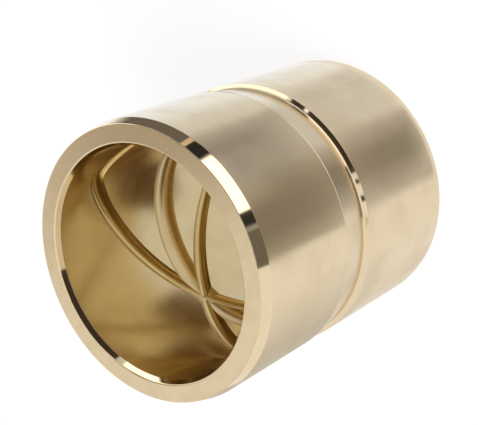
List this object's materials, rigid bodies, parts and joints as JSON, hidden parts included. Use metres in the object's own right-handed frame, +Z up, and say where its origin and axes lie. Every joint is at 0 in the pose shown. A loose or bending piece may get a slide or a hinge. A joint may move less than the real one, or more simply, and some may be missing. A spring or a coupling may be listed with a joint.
{
  "type": "bushing",
  "caption": "Plain bronze sleeve bushing with a lead-in chamfer, an outer grease groove, and a ring groove and crossed oil grooves in the bore.",
  "frame": {"origin": "centre of the bore at the end face that the bushing stands on", "axes": "+Z up the bore axis, from the resting end to the mouth seen in the picture; +Y points to the oil hole"},
  "size_m": [0.085, 0.085, 0.0964],
  "materials": {
    "bronze": "fine turned satin outside and in the bore, polished chamfers and groove flanks"
  },
  "bodies": {
    "root": {"bushing": "bronze"}
  },
  "joints": []
}
